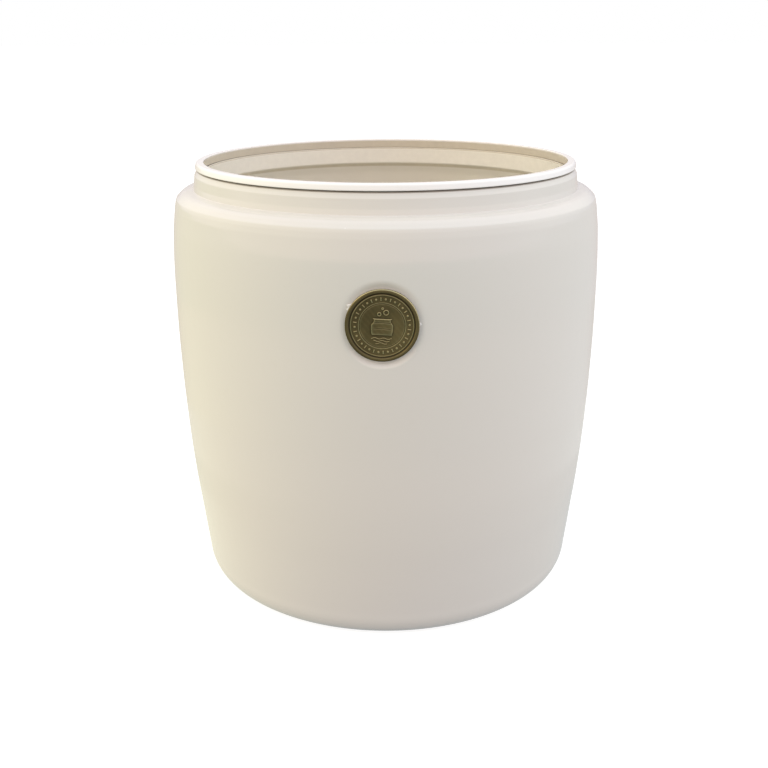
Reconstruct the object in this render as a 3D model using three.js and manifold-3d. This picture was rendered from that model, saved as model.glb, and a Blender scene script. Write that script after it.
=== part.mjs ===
// Open stoneware fermenting crock: one glazed vessel, a loose seat ring on the neck, a brass
// medallion on an adhesive pad, and two half-moon weights lying just above the vessel's floor.
// Millimetres, +Z up, origin at the centre of the foot, medallion facing -Y.

import * as THREE from "three";
import { mergeVertices } from "three/addons/utils/BufferGeometryUtils.js";
import Module from "manifold-3d";

const wasm = await Module();
wasm.setup();

// ---- driving dimensions -------------------------------------------------------------------

const TURN_SEGMENTS = 64; // facets of vessel and ring, the same count so their gap stays even
const SMALL_SEGMENTS = 48; // facets of the medallion, its pad and its seat

const FOOT_R = 100.8; // outer radius where the wall meets the table
const FOOT_INNER_R = 88.0; // inner radius of the foot
const FOOT_RECESS = 2.5; // height of the recess inside the foot
const HEEL_H = 13.6; // height of the rounded heel
const HEEL_R = 110.15; // wall radius at the top of the heel
const HEEL_STEPS = 5;
const HEEL_ROUNDNESS = 2.05; // superellipse exponent, 2 is a plain ellipse
const HEEL_CROWDING = 1.7; // above 1 draws the heel's points together near the foot

const BELLY_R = 120.0; // outer radius at the widest part
const WALL_T = 7.0; // wall thickness at the belly
const FLOOR_Z = 9.5; // top of the vessel's floor
const FLOOR_FLAT_R = 90.5; // flat part of the floor, before the inner fillet

const NECK_FOOT_Z = 225.45; // where the neck rises from the shoulder
const NECK_TOP_Z = 236.2; // flat lip of the neck
const NECK_TOP_R = 105.4; // nominal outer radius of the lip
const NECK_INNER_R = 100.5; // bore of the neck
const REBATE_R = 103.3; // step inside the lip that locates the ring
const REBATE_Z = 234.3; // floor of that step

const RING_CLEAR = 0.3; // clearance beside and below the ring's skirt
const RING_LIFT = 0.5; // gap between the lip and the ring's flange
const RING_R = 105.3; // outer radius of the ring
const RING_BORE_R = 100.4; // bore of the ring at its top
const RING_FOOT_R = 101.4; // bore at its lower edge: the inner face leans outwards going down
const RING_SKIRT_R = REBATE_R - RING_CLEAR; // outer radius of the skirt inside the step
const RING_SKIRT_Z = REBATE_Z + RING_CLEAR; // lower edge of the skirt
const RING_UNDER_Z = NECK_TOP_Z + RING_LIFT; // underside of the flange
const RING_TOP_Z = 240.0; // top of the ring, the highest point

const BADGE_Z = 176.4; // height of the medallion's centre
const BADGE_R = 17.6; // medallion radius
const BADGE_T = 1.7; // medallion thickness at its border
const BADGE_FIELD = 0.5; // how far the field lies below the border
const BADGE_GAP = 0.15; // clearance on each side of the pad
const PAD_T = 0.5; // adhesive pad thickness
const PAD_R = 14.5; // adhesive pad radius
const SEAT_R = BADGE_R + 2.9; // flat cut into the wall, with a margin round the medallion
const SEAT_Y = -118.35; // plane of that flat
const SEAT_CUTTER_H = 8; // length of the cutter, reaching outwards from the flat

const MOTIF_BACK = 0.95; // depth of the motif's back behind the medallion's front plane
const MOTIF_T = 0.75; // motif thickness

const WEIGHT_R = FLOOR_FLAT_R - 2.5; // outer radius of the pair, inside the flat floor
const WEIGHT_T = 16.0; // weight thickness
const WEIGHT_SPLIT = 2.0; // each half stops this far from the centre plane
const WEIGHT_CORNER_R = 7.0; // drawn corner between the straight side and the round one
const WEIGHT_NOTCH_R = 13.0; // finger notch in the middle of the straight side
const WEIGHT_HOLE_R = 9.0; // brine hole
const WEIGHT_HOLE_X = 50.0; // distance of that hole from the centre
const WEIGHT_EDGE = 2.2; // rounded edge
const WEIGHT_CLEAR = 0.3; // clearance under the weights

// ---- profiles, as [radius, z] -------------------------------------------------------------

// Outer wall, from the heel up to the shoulder.
const OUTER_WALL = [
  [HEEL_R, HEEL_H], [111.75, 27.5], [113.3, 41.5], [115.15, 57.5], [116.55, 73.4],
  [117.7, 89.5], [118.6, 105.3], [119.3, 121.5], [119.75, 137.1], [119.98, 152.0],
  [BELLY_R, 168.0], [119.85, 184.0], [119.45, 195.5], [118.7, 205.6], [117.95, 212.0],
];

// Shoulder, from the wall up to the root of the neck.
const SHOULDER = [
  [117.42, 216.2], [117.05, 217.9], [116.7, 219.4], [116.2, 220.85], [114.3, 222.9],
  [112.7, 224.05], [110.6, 224.85], [107.3, NECK_FOOT_Z], [106.9, NECK_FOOT_Z + 0.4],
  [106.35, 228.4],
];

// Inner wall, from the bore of the neck down to the floor.
const INNER_WALL = [
  [100.6, 225.6], [100.9, 224.6], [101.9, 223.8], [103.6, 222.4], [106.2, 218.2],
  [108.5, 211.5], [110.3, 204.0], [111.7, 195.0], [112.6, 182.0], [BELLY_R - WALL_T, 165.0],
  [112.7, 137.1], [111.5, 105.3], [109.5, 73.4], [106.2, 41.5], [104.2, 29.0],
  [102.7, 21.5], [101.2, 16.8], [98.4, 12.8], [94.6, 10.3], [FLOOR_FLAT_R, FLOOR_Z],
];

// Points of the rounded heel strictly between the foot and the wall.
function heelPoints() {
  const points = [];
  for (let i = 1; i < HEEL_STEPS; i++) {
    const rise = Math.pow(i / HEEL_STEPS, HEEL_CROWDING);
    const spread = Math.pow(1 - Math.pow(1 - rise, HEEL_ROUNDNESS), 1 / HEEL_ROUNDNESS);
    points.push([FOOT_R + (HEEL_R - FOOT_R) * spread, HEEL_H * rise]);
  }
  return points;
}

// Vessel section: out along the underside, up the outside, over the lip and down the inside.
function vesselOutline() {
  return [
    [0, FOOT_RECESS],
    [FOOT_INNER_R - 4.5, FOOT_RECESS],
    [FOOT_INNER_R - 1.4, 1.7],
    [FOOT_INNER_R, 0],
    [FOOT_R - 0.9, 0],
    [FOOT_R, 0.2],
    ...heelPoints(),
    ...OUTER_WALL,
    ...SHOULDER,
    [NECK_TOP_R + 0.4, 233.1],
    [NECK_TOP_R - 0.25, 234.9],
    [NECK_TOP_R - 1.1, NECK_TOP_Z],
    [REBATE_R, NECK_TOP_Z],
    [REBATE_R, REBATE_Z],
    [NECK_INNER_R + 0.9, REBATE_Z],
    [NECK_INNER_R + 0.2, REBATE_Z - 0.5],
    [NECK_INNER_R, REBATE_Z - 1.6],
    ...INNER_WALL,
    [0, FLOOR_Z],
  ];
}

// Seat ring section: a flange above the lip and a skirt inside the step.
const RING_OUTLINE = [
  [RING_FOOT_R, RING_SKIRT_Z],
  [RING_SKIRT_R, RING_SKIRT_Z],
  [RING_SKIRT_R, RING_UNDER_Z],
  [RING_R - 0.5, RING_UNDER_Z],
  [RING_R, RING_UNDER_Z + 0.5],
  [RING_R - 0.3, RING_TOP_Z - 1.1],
  [RING_R - 0.7, RING_TOP_Z - 0.35],
  [RING_R - 1.4, RING_TOP_Z],
  [RING_BORE_R + 0.4, RING_TOP_Z],
  [RING_BORE_R, RING_TOP_Z - 0.4],
  [RING_FOOT_R, RING_SKIRT_Z],
];

// Medallion section as [radius, depth behind the front plane]: the field with a thin raised
// circle, the border, the rim and the back.
const BADGE_OUTLINE = [
  [0, BADGE_FIELD],
  [BADGE_R - 6.6, BADGE_FIELD],
  [BADGE_R - 6.45, 0.3],
  [BADGE_R - 6.15, 0.3],
  [BADGE_R - 6.0, BADGE_FIELD],
  [BADGE_R - 1.9, BADGE_FIELD],
  [BADGE_R - 1.5, 0],
  [BADGE_R - 0.35, 0],
  [BADGE_R, 0.35],
  [BADGE_R, BADGE_T - 0.2],
  [BADGE_R - 0.2, BADGE_T],
  [0, BADGE_T],
];

// ---- geometry helpers ---------------------------------------------------------------------

// Turns an outline round the Y axis.
function lathe(outline, segments) {
  const points = outline.map(([radius, height]) => new THREE.Vector2(radius, height));
  return new THREE.LatheGeometry(points, segments);
}

// Turns an outline round the Z axis.
function uprightLathe(outline) {
  return lathe(outline, TURN_SEGMENTS).rotateX(Math.PI / 2);
}

// Converts a geometry to a Manifold; normals and uvs go first so that its seams weld.
function solid(geometry) {
  geometry.deleteAttribute("normal");
  geometry.deleteAttribute("uv");
  const merged = mergeVertices(geometry, 1e-4);
  return new wasm.Manifold(
    new wasm.Mesh({
      numProp: 3,
      vertProperties: new Float32Array(merged.attributes.position.array),
      triVerts: new Uint32Array(merged.index.array),
    }),
  );
}

function geometryOf(manifold) {
  const { vertProperties, triVerts } = manifold.getMesh();
  const geometry = new THREE.BufferGeometry();
  const positions = new THREE.BufferAttribute(new Float32Array(vertProperties), 3);
  geometry.setAttribute("position", positions);
  geometry.setIndex(new THREE.BufferAttribute(new Uint32Array(triVerts), 1));
  geometry.computeVertexNormals();
  return geometry;
}

function named(name, geometry, material) {
  const mesh = new THREE.Mesh(geometry, material);
  mesh.name = name;
  return mesh;
}

function groupOf(...members) {
  return new THREE.Group().add(...members);
}

// ---- materials ----------------------------------------------------------------------------

function standard({ color, roughness, metalness = 0 }) {
  return new THREE.MeshStandardMaterial({ color, roughness, metalness });
}

const creamGlaze = standard({ color: 0xe9e2d6, roughness: 0.22 });
const whiteGlaze = standard({ color: 0xf3ede4, roughness: 0.25 });
const weightGlaze = standard({ color: 0xe6decf, roughness: 0.3 });
const adhesive = standard({ color: 0xd8d2c6, roughness: 0.6 });
const antiqueBrass = standard({ color: 0x7b6b3d, roughness: 0.42, metalness: 1 });

// ---- vessel and ring ----------------------------------------------------------------------

// The vessel, with a round flat cut into its front for the medallion.
function crockBody() {
  const seat = new THREE.CylinderGeometry(SEAT_R, SEAT_R, SEAT_CUTTER_H, SMALL_SEGMENTS);
  seat.translate(0, SEAT_Y - SEAT_CUTTER_H / 2, BADGE_Z);
  const body = solid(uprightLathe(vesselOutline())).subtract(solid(seat));
  return named("crock_body", geometryOf(body), creamGlaze);
}

function rimRing() {
  return named("rim_ring", uprightLathe(RING_OUTLINE), whiteGlaze);
}

// ---- medallion ----------------------------------------------------------------------------

function badgePad() {
  const disc = new THREE.CylinderGeometry(PAD_R, PAD_R, PAD_T, SMALL_SEGMENTS);
  const mesh = named("badge_pad", disc, adhesive);
  mesh.position.set(0, SEAT_Y - BADGE_GAP - PAD_T / 2, BADGE_Z);
  return mesh;
}

// Pot with a rounded belly and an upright neck, drawn from its base up the +X side and back.
function potShape() {
  const baseX = 3.6;
  const baseY = -4.6;
  const bellyX = 5.3;
  const bellyY = -1.5;
  const neckX = 4.1;
  const neckY = 2.1;
  const topY = 3.2;
  const pot = new THREE.Shape();
  pot.moveTo(-baseX, baseY);
  pot.lineTo(baseX, baseY);
  pot.quadraticCurveTo(5.2, -4.2, bellyX, bellyY);
  pot.quadraticCurveTo(bellyX, 1.3, neckX, neckY);
  pot.lineTo(neckX, topY);
  pot.lineTo(-neckX, topY);
  pot.lineTo(-neckX, neckY);
  pot.quadraticCurveTo(-bellyX, 1.3, -bellyX, bellyY);
  pot.quadraticCurveTo(-5.2, -4.2, -baseX, baseY);
  return pot;
}

// Bubbles above the pot: x, height, radius.
const BUBBLES = [
  [-1.6, 5.6, 1.1],
  [1.7, 6.4, 1.5],
];

// A small pot with two rising bubbles, raised from the medallion's field.
function badgeMotif() {
  const bubbles = BUBBLES.map(([x, y, radius]) =>
    new THREE.Shape().absarc(x, y, radius, 0, 2 * Math.PI),
  );
  return [potShape(), ...bubbles].map((shape) => {
    const geometry = new THREE.ExtrudeGeometry(shape, {
      depth: MOTIF_T,
      bevelEnabled: false,
      curveSegments: 6,
    });
    geometry.rotateX(Math.PI / 2); // the drawing's height turns to +Z, the depth to -Y
    geometry.translate(0, MOTIF_BACK, 0);
    return geometry;
  });
}

function badge() {
  let body = solid(lathe(BADGE_OUTLINE, SMALL_SEGMENTS));
  for (const part of badgeMotif()) {
    body = body.add(solid(part));
  }
  const mesh = named("badge", geometryOf(body), antiqueBrass);
  mesh.position.set(0, SEAT_Y - 2 * BADGE_GAP - PAD_T - BADGE_T, BADGE_Z);
  return mesh;
}

// ---- weights ------------------------------------------------------------------------------

// Half-moon on the +X side, drawn one edge width inside its final outline: the bevel adds
// that width back all round, and narrows the notch and the hole to size.
function weightShape() {
  const outerR = WEIGHT_R - WEIGHT_EDGE;
  const straightX = WEIGHT_SPLIT + WEIGHT_EDGE;
  const notchR = WEIGHT_NOTCH_R + WEIGHT_EDGE;
  const notchAngle = Math.acos(straightX / notchR);

  // Corner arcs touch both the straight side and the outer arc.
  const cornerR = WEIGHT_CORNER_R;
  const cornerX = straightX + cornerR;
  const cornerY = Math.sqrt((outerR - cornerR) ** 2 - cornerX ** 2);
  const cornerAngle = Math.atan2(cornerY, cornerX);

  const shape = new THREE.Shape();
  shape.absarc(0, 0, outerR, -cornerAngle, cornerAngle, false);
  shape.absarc(cornerX, cornerY, cornerR, cornerAngle, Math.PI, false);
  shape.lineTo(straightX, notchR * Math.sin(notchAngle));
  shape.absarc(0, 0, notchR, notchAngle, -notchAngle, true);
  shape.lineTo(straightX, -cornerY);
  shape.absarc(cornerX, -cornerY, cornerR, Math.PI, 2 * Math.PI - cornerAngle, false);

  const hole = new THREE.Path();
  hole.absarc(WEIGHT_HOLE_X, 0, WEIGHT_HOLE_R + WEIGHT_EDGE, 0, 2 * Math.PI, true);
  shape.holes.push(hole);
  return shape;
}

// One weight, turned about Z from the +X side by the given angle.
function weight(name, turn) {
  const geometry = new THREE.ExtrudeGeometry(weightShape(), {
    depth: WEIGHT_T - 2 * WEIGHT_EDGE,
    bevelEnabled: true,
    bevelThickness: WEIGHT_EDGE,
    bevelSize: WEIGHT_EDGE,
    bevelSegments: 2,
    curveSegments: 12,
  });
  geometry.rotateZ(turn);
  const mesh = named(name, geometry, weightGlaze);
  mesh.position.z = FLOOR_Z + WEIGHT_CLEAR + WEIGHT_EDGE;
  return mesh;
}

// ---- assembly -----------------------------------------------------------------------------

const medallion = groupOf(badgePad(), badge());
const weights = groupOf(weight("weight_left", Math.PI), weight("weight_right", 0));
const crock = groupOf(crockBody(), rimRing(), medallion, weights);

export default crock;
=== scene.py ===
"""A glazed stoneware crock with a seat ring, a brass medallion and two half-moon weights.

The crock stands on z = 0 with its axis on Z. The front, with the medallion, faces -Y and the
camera; +X is on the camera's right. Shapes are worked out in millimetres and stored in metres.
"""
import math

import bmesh
import bpy
import numpy as np
from mathutils import Matrix, Vector
from mathutils.geometry import tessellate_polygon


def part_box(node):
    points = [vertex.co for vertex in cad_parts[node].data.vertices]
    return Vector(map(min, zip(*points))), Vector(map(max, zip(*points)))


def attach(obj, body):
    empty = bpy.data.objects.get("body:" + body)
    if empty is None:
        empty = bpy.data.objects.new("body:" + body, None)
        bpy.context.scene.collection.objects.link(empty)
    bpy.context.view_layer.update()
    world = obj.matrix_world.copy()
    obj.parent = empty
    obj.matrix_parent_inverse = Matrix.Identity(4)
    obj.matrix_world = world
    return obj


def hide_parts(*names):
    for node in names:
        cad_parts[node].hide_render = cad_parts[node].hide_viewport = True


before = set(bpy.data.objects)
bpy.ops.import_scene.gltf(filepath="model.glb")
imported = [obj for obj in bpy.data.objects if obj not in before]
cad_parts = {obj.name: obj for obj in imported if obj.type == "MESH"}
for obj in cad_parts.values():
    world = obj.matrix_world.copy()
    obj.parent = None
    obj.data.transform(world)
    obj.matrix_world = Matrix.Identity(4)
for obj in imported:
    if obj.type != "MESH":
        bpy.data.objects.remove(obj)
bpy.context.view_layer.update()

MM = 0.001
rng = np.random.default_rng(20261115)


def box_mm(node):
    return [np.array(corner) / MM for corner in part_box(node)]


ring_lo, ring_hi = box_mm("rim_ring")
badge_lo, badge_hi = box_mm("badge")
pad_lo, pad_hi = box_mm("badge_pad")

BADGE_Z = (badge_lo[2] + badge_hi[2]) / 2
BADGE_R = (badge_hi[2] - badge_lo[2]) / 2
BADGE_FRONT = badge_lo[1]
BADGE_DEPTH = badge_hi[1] - badge_lo[1]
PAD_FRONT, PAD_BACK = pad_lo[1], pad_hi[1]
SEAT_R, SEAT_Y = 20.5, PAD_BACK + 0.15  # flat pressed into the wall behind the medallion
FRONT = -math.pi / 2


# ---------------------------------------------------------------------------------------------
# profile helpers
# ---------------------------------------------------------------------------------------------

def smooth01(t):
    t = np.clip(t, 0, 1)
    return t * t * (3 - 2 * t)


def gaussian(reach, sigma):
    """Normalised weights from -reach to reach."""
    weights = np.exp(-0.5 * (np.arange(-reach, reach + 1) / sigma) ** 2)
    return weights / weights.sum()


def catmull(points, spacing):
    """Rounded path through [r, z] stations, with samples about `spacing` apart."""
    def knot_gap(a, b):
        return max(np.linalg.norm(b - a), 1e-6) ** 0.5

    def between(a, b, knot_a, knot_b):
        return (knot_b - t) / (knot_b - knot_a) * a + (t - knot_a) / (knot_b - knot_a) * b

    points = np.array(points, float)
    points = np.vstack([2 * points[0] - points[1], points, 2 * points[-1] - points[-2]])
    out = []
    for p0, p1, p2, p3 in zip(points, points[1:], points[2:], points[3:]):
        t0 = 0.0
        t1 = t0 + knot_gap(p0, p1)
        t2 = t1 + knot_gap(p1, p2)
        t3 = t2 + knot_gap(p2, p3)
        count = max(2, int(math.ceil(np.linalg.norm(p2 - p1) / spacing)))
        for t in np.linspace(t1, t2, count, endpoint=False):
            a1 = between(p0, p1, t0, t1)
            a2 = between(p1, p2, t1, t2)
            a3 = between(p2, p3, t2, t3)
            b1 = between(a1, a2, t0, t2)
            b2 = between(a2, a3, t1, t3)
            out.append(between(b1, b2, t1, t2))
    out.append(points[-2])
    return np.array(out)


def fillet(corners, step=0.12):
    """Polyline through rows of (r, z, rounding radius), its inner corners rounded."""
    points = [np.array(row[:2], float) for row in corners]
    out = [points[0]]
    for i in range(1, len(points) - 1):
        before, corner, after = points[i - 1:i + 2]
        radius = corners[i][2]
        length_in, length_out = np.linalg.norm(before - corner), np.linalg.norm(after - corner)
        back, ahead = (before - corner) / length_in, (after - corner) / length_out
        opening = math.acos(np.clip(back @ ahead, -1, 1))
        if abs(math.pi - opening) < 1e-3:
            out.append(corner)
            continue
        cut = radius / math.tan(opening / 2)
        limit = 0.49 * min(length_in, length_out)
        if cut > limit:
            cut, radius = limit, limit * math.tan(opening / 2)
        middle = back + ahead
        centre = corner + middle / np.linalg.norm(middle) * (radius / math.sin(opening / 2))
        first = math.atan2(*(corner + back * cut - centre)[::-1])
        last = math.atan2(*(corner + ahead * cut - centre)[::-1])
        sweep = (last - first + math.pi) % (2 * math.pi) - math.pi
        count = max(3, int(abs(sweep) * radius / step))
        for k in range(count + 1):
            t = first + sweep * k / count
            out.append(centre + radius * np.array([math.cos(t), math.sin(t)]))
    out.append(points[-1])
    return np.array(out)


def resample(path, spacing):
    """Evenly spaced points on a path; spacing is a number or a function of (r, z)."""
    path = np.asarray(path, float)
    along = np.concatenate([[0], np.cumsum(np.linalg.norm(np.diff(path, axis=0), axis=1))])
    keep = np.concatenate([[True], np.diff(along) > 1e-9])
    path, along = path[keep], along[keep]

    def points_at(where):
        return np.stack([np.interp(where, along, path[:, c]) for c in range(2)], 1)

    fine = np.linspace(0, along[-1], max(10, int(along[-1] / 0.05)))
    if callable(spacing):
        want = np.array([spacing(r, z) for r, z in points_at(fine)])
    else:
        want = np.full(len(fine), float(spacing))
    steps = np.concatenate([[0], np.cumsum(np.diff(fine) / (0.5 * (want[1:] + want[:-1])))])
    count = max(2, int(round(steps[-1])))
    return points_at(np.interp(np.linspace(0, steps[-1], count + 1), steps, fine))


def soften(path, sigma, step=0.1):
    """Gaussian smoothing along a path with fixed ends, to take the last kinks out."""
    points = resample(path, step)
    reach = int(3 * sigma / step)
    kernel = np.exp(-0.5 * (np.arange(-reach, reach + 1) * step / sigma) ** 2)
    kernel /= kernel.sum()
    out = points.copy()
    for c in range(2):
        # odd reflection about the ends keeps them and their slope
        line = points[:, c]
        head = 2 * line[0] - line[1:reach + 1][::-1]
        tail = 2 * line[-1] - line[-reach - 1:-1][::-1]
        out[:, c] = np.convolve(np.concatenate([head, line, tail]), kernel, mode="valid")
    return out


# ---------------------------------------------------------------------------------------------
# mesh helpers
# ---------------------------------------------------------------------------------------------

def new_object(name, verts, faces):
    mesh = bpy.data.meshes.new(name)
    mesh.from_pydata([tuple(v) for v in (np.asarray(verts) * MM)], [], faces)
    mesh.validate()
    mesh.update()
    mesh.polygons.foreach_set("use_smooth", [True] * len(mesh.polygons))
    ob = bpy.data.objects.new(name, mesh)
    bpy.context.scene.collection.objects.link(ob)
    return ob


def add_attribute(ob, name, values):
    attribute = ob.data.attributes.new(name, "FLOAT", "POINT")
    attribute.data.foreach_set("value", np.asarray(values, np.float32))


def loft(name, rings, closed=False, turned=False):
    """Skin over rings of points; a ring of one point is a pole. `turned` reverses the faces."""
    rows, start = [], 0
    for ring in rings:
        rows.append(range(start, start + len(ring)))
        start += len(ring)
    if closed:
        rows.append(rows[0])
    faces = []
    for a, b in zip(rows, rows[1:]):
        count = max(len(a), len(b))
        for j in range(count):
            k = (j + 1) % count
            if len(a) == 1:
                face = (a[0], b[j], b[k])
            elif len(b) == 1:
                face = (a[j], b[0], a[k])
            else:
                face = (a[j], b[j], b[k], a[k])
            faces.append((face[0], *face[:0:-1]) if turned else face)
    return new_object(name, np.vstack(rings), faces)


def on_axis(r):
    return r < 1e-6


def revolve(name, profile, angles, displace=None, closed=False):
    """Revolved surface of an [r, z] profile that ends on the axis or closes on itself."""
    radius = np.repeat(profile[:, 0:1], len(angles), 1)
    z = np.repeat(profile[:, 1:2], len(angles), 1)
    x, y = radius * np.cos(angles), radius * np.sin(angles)
    if displace is not None:
        x, y, z = displace(x, y, z, profile)
    rings = []
    for i, (r, height) in enumerate(profile):
        if on_axis(r):
            rings.append(np.array([[0.0, 0.0, height]]))
        else:
            rings.append(np.stack([x[i], y[i], z[i]], 1))
    return loft(name, rings, closed=closed, turned=True)


# ---------------------------------------------------------------------------------------------
# the vessel
# ---------------------------------------------------------------------------------------------

FOOT_R, HEEL_R, HEEL_H = 100.8, 110.15, 13.6
HEEL_POWER = 2.05
UNDER_Z = 2.5  # recess inside the foot
FLOOR_R, FLOOR_Z = 84.0, 9.5  # flat floor inside
LINING_TOP = (110.3, 203.9)  # where the neck's inside meets the inner wall

# outer wall above the heel: r, z
WALL = [
    (111.75, 27.5), (113.3, 41.5), (115.1, 57.5), (116.6, 73.4), (117.75, 89.5),
    (118.62, 105.3), (119.3, 121.5), (119.75, 137.1), (119.97, 152.0), (120.0, 168.0),
    (119.87, 184.0), (119.45, 195.5), (118.78, 205.4), (118.16, 210.4),
]
# round corner of the shoulder and the ledge that rises gently to the neck: r, z, rounding
SHOULDER = [
    (117.75, 213.4, 20.0), (117.35, 216.4, 12.0), (116.76, 219.3, 5.0), (116.22, 221.0, 1.0),
    (114.2, 223.05, 3.0), (112.6, 224.15, 5.0), (110.6, 224.85, 8.0), (107.6, 225.35, 0),
]
# up the neck, over its stepped top and down inside: r, z, rounding
NECK = [
    (107.0, 225.5, 0.35), (106.35, 228.4, 2.0), (105.78, 233.2, 0.8), (104.2, 236.2, 0.35),
    (103.3, 236.2, 0.2), (103.3, 234.3, 0.25), (101.25, 234.3, 0.1), (101.1, 234.7, 0.12),
    (100.5, 234.7, 0.42), (100.5, 225.1, 0.7), (103.4, 222.6, 4.0), (106.2, 218.2, 12.0),
    (108.5, 211.5, 20.0), (*LINING_TOP, 0),
]
# inner wall, downwards: r, z
INNER = [
    LINING_TOP, (111.7, 195.0), (112.55, 183.0), (113.0, 166.0), (112.7, 137.1),
    (111.5, 105.3), (109.5, 73.4), (106.2, 41.5), (104.2, 29.0), (102.7, 21.5),
    (101.2, 16.8), (98.4, 12.8), (94.6, 10.3), (90.0, FLOOR_Z), (FLOOR_R, FLOOR_Z),
]
# from the axis to the edge of the foot: r, z, rounding
UNDERSIDE = [(0, UNDER_Z, 0), (84.5, UNDER_Z, 1.8), (88.0, 0.0, 0.8), (FOOT_R, 0.0, 0)]

# slow unevenness of the thrown wall: waves per turn, radians per mm of height, depth in mm
WAVES = [
    (2, 0.010, 0.08), (3, -0.017, 0.045), (1, 0.045, 0.022), (5, 0.021, 0.012),
    (4, -0.060, 0.010), (7, 0.050, 0.004), (0, 0.21, 0.012), (1, 0.33, 0.006),
    (9, -0.090, 0.002), (0, 0.47, 0.003),
]
PHASES = [rng.uniform(0, 2 * math.pi) for _ in WAVES]


def heel_points():
    """Superellipse quarter from the foot to the heel."""
    return [
        (FOOT_R + (HEEL_R - FOOT_R) * (1 - (1 - t) ** HEEL_POWER) ** (1 / HEEL_POWER), HEEL_H * t)
        for t in np.linspace(0.0, 1.0, 40)[1:] ** 1.7
    ]


def wall_spacing(r, z):
    """Rows are close together where the medallion's seat is pressed in."""
    return 0.45 if r > 113 and 152 < z < 201 else 2.6


def neck_spacing(r, z):
    return 0.22 if z > 232 or 220.5 < z < 228.5 else 0.6


def vessel_profile():
    """Half section, from the axis underneath, up the outside and down to the axis inside."""
    outer = soften(
        np.vstack([heel_points(), catmull([(HEEL_R, HEEL_H)] + WALL, 0.3)[1:]]), 1.3)
    shoulder = soften(fillet([(*outer[-1], 0)] + SHOULDER, step=0.1), 0.22)
    outer = np.vstack([outer, shoulder[1:]])
    neck = fillet([(*outer[-1], 0)] + NECK)
    inner = soften(catmull(INNER, 0.4), 0.7)
    under = fillet(UNDERSIDE)
    under_r, outer_z, inner_z = under[:, 0], outer[:, 1], inner[:, 1]
    # part of the section, spacing of its rows
    parts = [
        (under[under_r < 84.0], 6.0),
        (under[under_r >= 83.5], 0.5),
        (outer[outer_z < 16], 0.6),
        (outer[(outer_z >= 15.5) & (outer_z < 206)], wall_spacing),
        (outer[(outer_z >= 205.5) & (outer_z < 217.0)], 0.6),
        (outer[outer_z >= 216.8], 0.25),
        (neck, neck_spacing),
        (inner[inner_z > 200], 0.6),
        (inner[(inner_z <= 200.5) & (inner_z > 32)], 3.0),
        (inner[inner_z <= 32.5], 1.2),
    ]
    floor_part = resample([(FLOOR_R, FLOOR_Z), (0.0, FLOOR_Z)], 6.0)
    points = np.vstack([resample(part, spacing)[:-1] for part, spacing in parts] + [floor_part])
    points[0, 0] = points[-1, 0] = 0.0
    # drop rows that nearly coincide where two parts meet
    keep = [0]
    for i in range(1, len(points)):
        if np.linalg.norm(points[i] - points[keep[-1]]) > 0.05:
            keep.append(i)
    return points[keep]


def vessel_angles():
    """Close steps across the medallion's seat, wide ones over the rest of the turn."""
    dense = np.arange(-0.205, 0.205, 0.0038)
    rest = np.linspace(dense[-1] + 0.01, 2 * math.pi + dense[0] - 0.01, 252)
    return FRONT + np.concatenate([dense, rest])


def uneven(phi, z, shift=0.0):
    total = np.zeros_like(phi)
    for (turns, climb, depth), phase in zip(WAVES, PHASES):
        total += depth * np.sin(turns * phi + climb * z + phase + shift)
    return total


def shape_vessel(x, y, z, profile):
    radius, phi = np.hypot(x, y), np.arctan2(y, x)
    crown = int(np.argmax(profile[:, 1]))
    outside = (np.arange(len(profile)) < crown)[:, None]
    fade = smooth01((z - 3) / 14) * smooth01((218 - z) / 20)
    shift = np.where(outside, uneven(phi, z), 1.2 * uneven(phi, z, 1.7)) * fade
    scale = np.where(radius > 1e-6, (radius + shift) / np.maximum(radius, 1e-6), 1.0)
    x, y = x * scale, y * scale
    # the medallion's seat: a shallow flat pressed into the wall, with a rounded edge
    distance = np.hypot(x, z - BADGE_Z)
    press = smooth01((SEAT_R + 1.1 - distance) / 3.7)
    here = outside & (y < SEAT_Y) & (distance < SEAT_R + 2)
    return x, np.where(here, y + (SEAT_Y - y) * press, y), z


def make_vessel():
    profile, angles = vessel_profile(), vessel_angles()
    ob = revolve("vessel", profile, angles, shape_vessel)
    # painted light: the inside of the vessel, from the step in the neck down, gets a lighter glaze
    # colour than the outside; 1 on the inside of the vessel
    crown = int(np.argmax(profile[:, 1]))
    lit_lining = []
    for i, (r, z) in enumerate(profile):
        painted_lighter = i > crown and not (z > 234.0 and r > 101.5)
        lit_lining.extend([float(painted_lighter)] * (1 if on_axis(r) else len(angles)))
    add_attribute(ob, "lit_lining", lit_lining)
    return ob


# ---------------------------------------------------------------------------------------------
# the seat ring
# ---------------------------------------------------------------------------------------------

def make_ring():
    """Ring with a flange over the neck and a collar down inside it."""
    outer_r, inner_r, collar_r = ring_hi[0], 100.4, 103.0
    top, bottom, flange_z = ring_hi[2], ring_lo[2], 236.65
    path = fillet([  # r, z, rounding
        (102.3, bottom, 0), (collar_r, bottom, 0.25), (collar_r, flange_z, 0.3),
        (outer_r + 0.05, flange_z, 0.45), (outer_r - 0.75, top, 1.5), (inner_r, top, 0.38),
        (101.4, bottom, 0.4), (102.3, bottom, 0),
    ], step=0.08)

    def spacing(r, z):
        return 0.14 if z > top - 0.7 and r < inner_r + 1.2 else 0.22

    angles = FRONT + np.linspace(0, 2 * math.pi, 288, endpoint=False)
    return revolve("seat_ring", resample(path, spacing)[:-1], angles, closed=True)


# ---------------------------------------------------------------------------------------------
# the medallion: a struck relief on a polar grid
# In its own frame x is to the right, y is up and the third axis is the depth behind the front.
# ---------------------------------------------------------------------------------------------

FIELD_DEPTH = 0.5  # the field lies this far behind the front plane
TILT = math.radians(-3.0)
EDGE_W, EDGE_FALL = 0.95, 0.45  # rolled edge: width and fall of its outer margin
ROLL, ROLL_DROP = 0.42, 0.62  # last turn of the edge into the upright side
BEAD_R, BEAD_COUNT = 12.9, 36


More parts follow.
